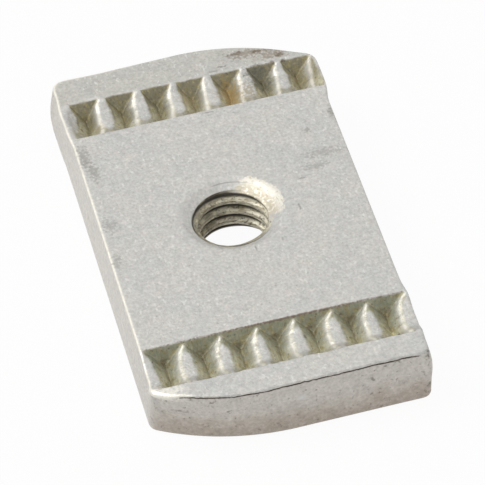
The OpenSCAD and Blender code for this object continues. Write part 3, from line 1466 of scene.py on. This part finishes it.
    def sink_tone(self, sheet: ShaderSheet, tone: Value) -> Value:
        """Return the colour with the machined countersink, painted bright as a highlight on its
        lit side, and its scratch.
        """
        x, y, z = sheet.split(sheet.place)
        radius, toward = self.round_hole(sheet)
        near_top = z.ease(3.9, 4.2)
        ragged = sheet.clouds(Pattern.RAGGED) * 0.9 - 0.45
        # Painted highlight: the machined steel on the side facing the light is painted bright,
        # with sparkles and pores, out to a ragged radius.
        reach = toward.ease(0.75, 1.0) * 0.3 + self.bright_r
        turned = (reach + ragged - radius).ease(-0.04, 0.06)
        turned = turned * (toward + ragged * 0.4).ease(0.68, 0.84) * near_top
        inputs = {"Vector": sheet.unite(radius * 9.0, x, y), "Scale": 1.2}
        rings = sheet.value("ShaderNodeTexNoise", inputs)
        pores = sheet.patches(Pattern.PORES).most(rings.ease(0.40, 0.28))
        shine = sheet.mix(radius.ease(3.0, 3.5), self.turned, self.steel)
        shine = sheet.mix(sheet.patches(Pattern.SPARKLE), shine, self.bright)
        shine = sheet.mix(pores * 0.6, shine, self.bore)
        tone = sheet.mix(turned, tone, shine)
        scratch = abs(radius - self.scratch_r).ease(0.05, 0.015) * x.ease(-1.1, -0.4) * near_top
        scratch = scratch * (y - x).ease(0.2, 2.2) * sheet.attribute("machined")
        return sheet.mix(scratch * 0.8, tone, self.speck)

    def thread_tone(self, sheet: ShaderSheet, tone: Value) -> Value:
        """Return the colour with the streaked and grimy thread, its painted highlight and its
        painted shade.
        """
        machined = sheet.attribute("machined")
        x, y, z = sheet.split(sheet.place)
        radius, toward = self.round_hole(sheet)
        first = toward.ease(0.5, 0.8) * z.ease(4.26, 4.4)
        below = radius.ease(2.9, 2.84) * machined * (1.0 - first)
        # Painted highlight: the bright streaks grow stronger toward the lit side.
        lit = sheet.patches(Pattern.STREAKS) * toward.ease(0.0, 0.7, 0.5, 1.0)
        wall = sheet.mix(lit, self.bore, self.thread)
        wall = sheet.mix(sheet.patches(Pattern.THREAD_GRIT) * 0.7, wall, self.grime_and_shade)
        tone = sheet.mix(below, tone, wall)
        # Painted shade: the dark dirt grows stronger away from the light, in the thread's roots
        # and along the step where it starts.
        shade_and_grime = sheet.patches(Pattern.GRIME) * toward.ease(0.95, -0.1, 0.25, 0.5) * below
        root_shade = sheet.attribute("groove").ease(0.42, 0.8) * toward.ease(1.0, 0.3, 0.8, 1.0)
        ledge_shade = abs(radius - self.ledge_r).ease(0.07, 0.02) * z.ease(4.3, 4.4)
        ledge_shade = ledge_shade * sheet.patches(Pattern.LEDGE) * toward.ease(0.8, 0.5, 0.15, 1.0)
        # Painted shade under the step, on the side away from the light.
        under = z.ease(4.1, 4.25) * toward.ease(0.95, 0.65, 0.1, 0.9)
        ledge_shade = ledge_shade.most(under * x.ease(-2.3, -0.8, 0.3, 1.0) * below)
        ledge_shade = ledge_shade * (x * -0.4 + y).ease(-1.6, 0.2, 0.1, 1.0)
        shade_and_grime = shade_and_grime.most(root_shade.most(ledge_shade)) * machined
        return sheet.mix(shade_and_grime * 0.95, tone, self.grime_and_shade)

    @staticmethod
    def edge_wear_and_highlight(sheet: ShaderSheet) -> Value:
        """Return how far the left edge is rubbed bright, partly wear and partly a painted
        highlight on its rounding.
        """
        x, y, _ = sheet.split(sheet.place)
        wear = sheet.attribute("edge") * x.ease(1.0, -7.5, 0.1, 1.0) * sheet.patches(Pattern.EDGE)
        return wear * y.ease(-15.2, -14.8).most(x.ease(-6.4, -7.4))

    def colour(self, sheet: ShaderSheet) -> Value:
        """Return the colour of the surface."""
        tone = self.grainy(sheet, self.plate_tone(sheet))
        tone = self.sink_tone(sheet, self.pit_tone(sheet, tone))
        tone = self.thread_tone(sheet, tone)
        # The rubbed left edge, partly a painted highlight.
        tone = sheet.mix(self.edge_wear_and_highlight(sheet), tone, self.bright)
        seam = sheet.clouds(Pattern.SEAM) * -0.3 + sheet.attribute("fold")
        tone = sheet.mix(seam.ease(-0.05, 0.25), tone, self.rust_and_shade)
        for mark in self.marks:
            tone = sheet.mix(sheet.spot(mark), tone, mark.colour)
        return tone

    def material(self) -> bpy.types.Material:
        """Return the finish as a material."""
        made = bpy.data.materials.new("zinc_plating")
        made.use_nodes = True
        sheet = ShaderSheet(made.node_tree)
        machined = sheet.attribute("machined")
        wear_and_highlight = (sheet.attribute("shoulder") * 0.5).most(self.edge_wear_and_highlight(sheet))
        rough = sheet.clouds(Pattern.ROUGH) * 0.3 + (self.roughness - 0.15)
        relief = sheet.clouds(Pattern.FINE_RELIEF) * (machined * -0.8 + 1.0)
        relief = relief + sheet.clouds(Pattern.WIDE_RELIEF) * 1.2
        bump = {"Strength": 0.6, "Distance": 0.06 * MM, "Height": relief}
        inputs = made.node_tree.nodes["Principled BSDF"].inputs
        sheet.feed(inputs["Base Color"], self.colour(sheet))
        sheet.feed(inputs["Metallic"], wear_and_highlight * 0.3 + self.metallic)
        sheet.feed(inputs["Roughness"], rough - wear_and_highlight.most(machined * 0.2) * 0.14)
        sheet.feed(inputs["Normal"], sheet.value("ShaderNodeBump", bump))
        return made


def nut_marks() -> tuple[Mark, ...]:
    """Return the stains, specks and smudges of the nut, and a few painted highlights and shadows.
    """
    dark, brown = (0.30, 0.29, 0.26), (0.17, 0.125, 0.08)
    black, stain = (0.09, 0.07, 0.05), (0.25, 0.20, 0.15)
    ivory = (0.92, 0.89, 0.80)
    return (
        Mark((-8.85, 8.9, 5.0), (0.55, 1.6, 0.5), dark, 0.65, 1.0),
        Mark((-8.5, 7.2, 5.0), (0.5, 1.3, 0.5), dark, 0.55, 1.1),
        Mark((-8.6, 1.4, 5.0), (0.6, 1.0, 0.5), dark, 0.5, 1.1),
        Mark((-8.9, -2.3, 5.0), (0.4, 1.0, 0.5), dark, 0.5, 1.1),
        Mark((7.22, 6.7, 5.0), (0.36, 0.42, 0.5), dark, 0.6, 0.8),
        Mark((7.7, 4.1, 5.0), (1.8, 0.6, 0.5), dark, 0.45, 1.1),
        Mark((6.8, 2.9, 5.0), (1.3, 0.5, 0.5), dark, 0.45, 1.1),
        Mark((5.61, 1.94, 5.0), (0.34, 0.14, 0.5), dark, 0.8, 0.5),
        Mark((4.72, -0.9, 5.0), (0.11, 0.5, 0.5), dark, 0.75, 0.6),
        Mark((0.74, -3.96, 5.0), (0.09, 0.4, 0.5), dark, 0.8, 0.5),
        Mark((2.75, -3.6, 5.0), (0.1, 0.35, 0.5), dark, 0.5, 0.6),
        Mark((0.85, 10.8, 5.0), (0.6, 0.1, 0.5), dark, 0.8, 0.5),
        Mark((9.35, 8.0, 5.0), (0.25, 0.9, 0.6), dark, 0.7, 0.9),
        Mark((5.0, 16.2, 5.0), (2.0, 0.6, 0.5), stain, 0.6, 1.2),
        Mark((6.9, 15.6, 5.0), (1.5, 0.7, 0.5), stain, 0.65, 1.2),
        Mark((4.2, 16.45, 5.0), (0.7, 0.3, 0.5), brown, 0.8, 0.8),
        Mark((5.7, 16.25, 5.0), (0.7, 0.25, 0.5), brown, 0.85, 0.7),
        Mark((7.3, 15.35, 5.0), (0.4, 0.4, 0.5), brown, 0.8, 0.8),
        Mark((7.4, 14.6, 5.0), (0.2, 0.3, 0.5), black, 0.8, 0.7),
        Mark((6.6, 14.75, 5.0), (0.35, 0.25, 0.5), brown, 0.7, 0.8),
        Mark((2.96, 15.38, 5.0), (0.5, 0.16, 0.5), dark, 0.9, 0.7),
        Mark((2.2, 15.08, 5.0), (0.5, 0.12, 0.5), dark, 0.8, 0.7),
        Mark((5.3, 14.4, 4.7), (1.2, 0.5, 0.6), (0.13, 0.13, 0.10), 0.85, 0.9),
        # Painted highlight on the raised lip at the near left, partly rubbed bright metal.
        Mark((-8.6, -15.5, 4.65), (2.0, 1.6, 0.75), ivory, 0.85, 0.6),
        Mark((-8.95, -14.5, 4.9), (0.5, 0.13, 0.4), brown, 0.9, 0.5),
        Mark((4.3, 12.7, 4.7), (0.7, 1.3, 0.6), (0.36, 0.29, 0.17), 0.6, 1.5),
        Mark((1.0, -11.24, 5.0), (11.0, 0.12, 0.28), brown, 0.9, 0.6),
        Mark((3.0, 13.0, 4.0), (1.0, 2.2, 1.5), (0.45, 0.31, 0.12), 0.7, 0.8),
        Mark((-0.1, 13.4, 4.2), (0.8, 1.3, 0.9), (0.60, 0.49, 0.28), 0.5, 0.6),
        Mark((-7.1, 12.3, 4.3), (0.5, 0.5, 0.8), (0.30, 0.23, 0.11), 0.6, 0.6),
        Mark((8.3, 13.4, 4.2), (0.6, 1.3, 0.9), (0.38, 0.32, 0.17), 0.5, 0.6),
        Mark((5.5, 13.8, 4.2), (1.1, 1.5, 1.0), (0.15, 0.15, 0.115), 0.7, 0.7),
        # Painted glint in a near pit by the rim.
        Mark((7.9, -13.9, 4.0), (0.22, 0.5, 0.5), (0.88, 0.82, 0.42), 0.85, 0.4),
        # These two are painted shadow along the near right corner.
        Mark((9.45, -16.9, 4.5), (0.35, 0.6, 0.45), black, 0.8, 0.9),
        Mark((9.6, -16.8, 3.8), (0.25, 0.5, 0.3), black, 0.6, 0.9),
        Mark((9.5, -16.9, 1.55), (0.35, 0.5, 0.38), black, 0.9, 0.7),
        Mark((-7.6, -15.9, 3.0), (1.3, 0.9, 0.2), brown, 0.45, 0.9),
        Mark((-5.2, -16.9, 4.75), (2.2, 0.6, 0.13), brown, 0.9, 0.7),
        Mark((0.5, -17.3, 3.3), (0.5, 0.5, 0.3), (0.72, 0.74, 0.75), 0.5, 0.9),
    )


# --------------------------------------------------------------------------- the studio


@dataclass
class Studio:
    """Floor, lamps and camera.

    Attributes:
        turn: Direction of the camera round the nut, in degrees.
        rise: Height of the camera above the floor, in degrees.
        roll: Lean of the camera, in degrees.
        distance: Distance of the camera from its target.
        target: Point on the floor plane that the camera looks at.
        lens: Focal length for a 36 mm wide picture.
    """

    turn: float = -9.90
    rise: float = 44.22
    roll: float = -5.744
    distance: float = 290.3
    target: Point = (0.849, 1.932)
    lens: float = 298.84

    SENSOR = 36.0
    FLOOR_HALF = 0.6
    FLOOR_TONE = 0.85
    FLOOR_GLOW = 0.95
    WORLD_LIGHT = 0.5

    def camera(self) -> None:
        """Set up the camera."""
        turn, rise, roll = (math.radians(v) for v in (self.turn, self.rise, self.roll))
        flat = math.cos(rise)
        back = Vector((math.sin(turn) * flat, -math.cos(turn) * flat, math.sin(rise)))
        right = Vector((0.0, 0.0, 1.0)).cross(back).normalized()
        up = back.cross(right)
        leaned = math.cos(roll) * right + math.sin(roll) * up
        up = math.cos(roll) * up - math.sin(roll) * right
        data = bpy.data.cameras.new("camera")
        data.sensor_width = self.SENSOR
        data.lens = self.lens
        data.clip_start = 0.01
        data.clip_end = 10.0
        holder = bpy.data.objects.new("camera", data)
        bpy.context.scene.collection.objects.link(holder)
        matrix = Matrix((leaned, up, back)).transposed().to_4x4()
        matrix.translation = (Vector((*self.target, 0.0)) + back * self.distance) * MM
        holder.matrix_world = matrix
        bpy.context.scene.camera = holder

    @staticmethod
    def lamp(name: str, place: Point3, size: float, power: float) -> None:
        """Add a square soft lamp that faces the nut.

        Args:
            name: Name of the lamp.
            place: Its place in metres.
            size: Length of its sides in metres.
            power: Its power in watts.
        """
        data = bpy.data.lights.new(name, "AREA")
        data.size = size
        data.energy = power
        holder = bpy.data.objects.new(name, data)
        holder.location = place
        holder.rotation_euler = Vector(place).to_track_quat("Z", "Y").to_euler()
        bpy.context.scene.collection.objects.link(holder)

    @staticmethod
    def seen_directly(sheet: NodeSheet) -> Value:
        """Return 1 for a ray that shows the background itself, by sight or in metal or glass."""
        path = sheet.node("ShaderNodeLightPath").outputs
        kinds = ("Is Camera Ray", "Is Glossy Ray", "Is Transmission Ray")
        sight, metal, glass = (Value(sheet, path[kind]) for kind in kinds)
        return sight.most(metal).most(glass)

    def floor(self) -> bpy.types.Object:
        """Return the pale floor."""
        mesh = bpy.data.meshes.new("floor")
        half = self.FLOOR_HALF
        signs = ((-1, -1), (1, -1), (1, 1), (-1, 1))
        mesh.from_pydata([(half * x, half * y, 0.0) for x, y in signs], [], [(0, 1, 2, 3)])
        made = bpy.data.objects.new("floor", mesh)
        bpy.context.scene.collection.objects.link(made)
        finish = bpy.data.materials.new("floor_white")
        finish.use_nodes = True
        nodes = finish.node_tree.nodes
        nodes.remove(nodes["Principled BSDF"])
        sheet = NodeSheet(finish.node_tree)
        tone = (*(self.FLOOR_TONE,) * 3, 1.0)
        matte = sheet.value("ShaderNodeBsdfDiffuse", {"Color": tone})
        glow = sheet.value("ShaderNodeEmission")
        share = self.seen_directly(sheet) * self.FLOOR_GLOW
        mixed = sheet.value("ShaderNodeMixShader", (share, matte, glow))
        sheet.feed(nodes["Material Output"].inputs["Surface"], mixed)
        mesh.materials.append(finish)
        return made

    def world(self) -> None:
        """Set up the pale surroundings, white where they are seen and dimmer where they light."""
        made = bpy.data.worlds.new("surroundings")
        bpy.context.scene.world = made
        made.use_nodes = True
        sheet = NodeSheet(made.node_tree)
        background = made.node_tree.nodes["Background"]
        sheet.feed(background.inputs["Color"], (1.0, 1.0, 1.0, 1.0))
        share = self.seen_directly(sheet) * (1.0 - self.WORLD_LIGHT)
        sheet.feed(background.inputs["Strength"], share + self.WORLD_LIGHT)

    def build(self) -> None:
        """Set up everything round the nut."""
        self.camera()
        self.world()
        self.floor()
        self.lamp("overhead", (-0.05, 0.15, 0.60), 0.50, 0.3)
        self.lamp("key", (-0.30, 0.08, 0.45), 0.28, 1.1)
        bpy.context.scene.view_settings.view_transform = "Standard"
        LOG.info("studio: floor, lamps and camera")


# --------------------------------------------------------------------------- main


def nut_plate() -> NutPlate:
    """Return the nut's sizes."""
    return NutPlate(
        crown=Outline(
            left=9.38, right=9.55, far=17.8, near=17.42, tilt=0.025,
            far_arc=(0.1, 2.3, 15.5), near_arc=(-2.2, -4.8, 12.6),
            far_round=0.55, near_round=0.25),
        foot=Outline(
            left=9.72, right=9.72, far=17.5, near=17.27, tilt=0.012,
            far_arc=(0.0, 0.05, 17.4), near_arc=(0.0, 0.05, 17.29),
            far_round=0.5, near_round=0.42),
        rows=(
            ToothRow(
                RowSide.FAR, -7.65, (-0.06, -0.03, 0.0, -0.06, 0.0, 0.02, -0.04),
                inner=11.07, width=3.75, tilt=-0.012, ends=(-8.85, 9.2)),
            ToothRow(
                RowSide.NEAR, -7.85, (0.08, 0.1, 0.07, 0.02, -0.02, -0.01, -0.11),
                inner=11.25, outer_run=0.88),
        ),
        hole=BoltHole(),
        bulges=(
            Bulge((-9.7, 16.6), 2.9, 2.8, 1.9, 0.38),
            Bulge((-9.4, 12.9), 4.6, 2.1, 2.2, 0.16),
            Bulge((9.6, 12.6), 4.6, 2.4, 2.4, 0.3),
            Bulge((9.6, -12.9), 4.6, 2.2, 2.4, 0.22),
            Bulge((9.7, -16.3), 3.3, 1.8, 1.7, 0.3),
            Bulge((-8.7, -15.4), 4.72, 1.25, 0.3, 0.3),
        ),
    )


def main() -> None:
    """Build the nut and its studio in order."""
    logging.basicConfig(level=logging.INFO, format="%(name)s %(message)s")
    nut = nut_plate().make(ZincFinish(marks=nut_marks()).material())
    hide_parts("channel_nut")
    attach(nut, "root")
    Studio().build()
    bpy.context.view_layer.update()


if __name__ == "__main__":
    main()
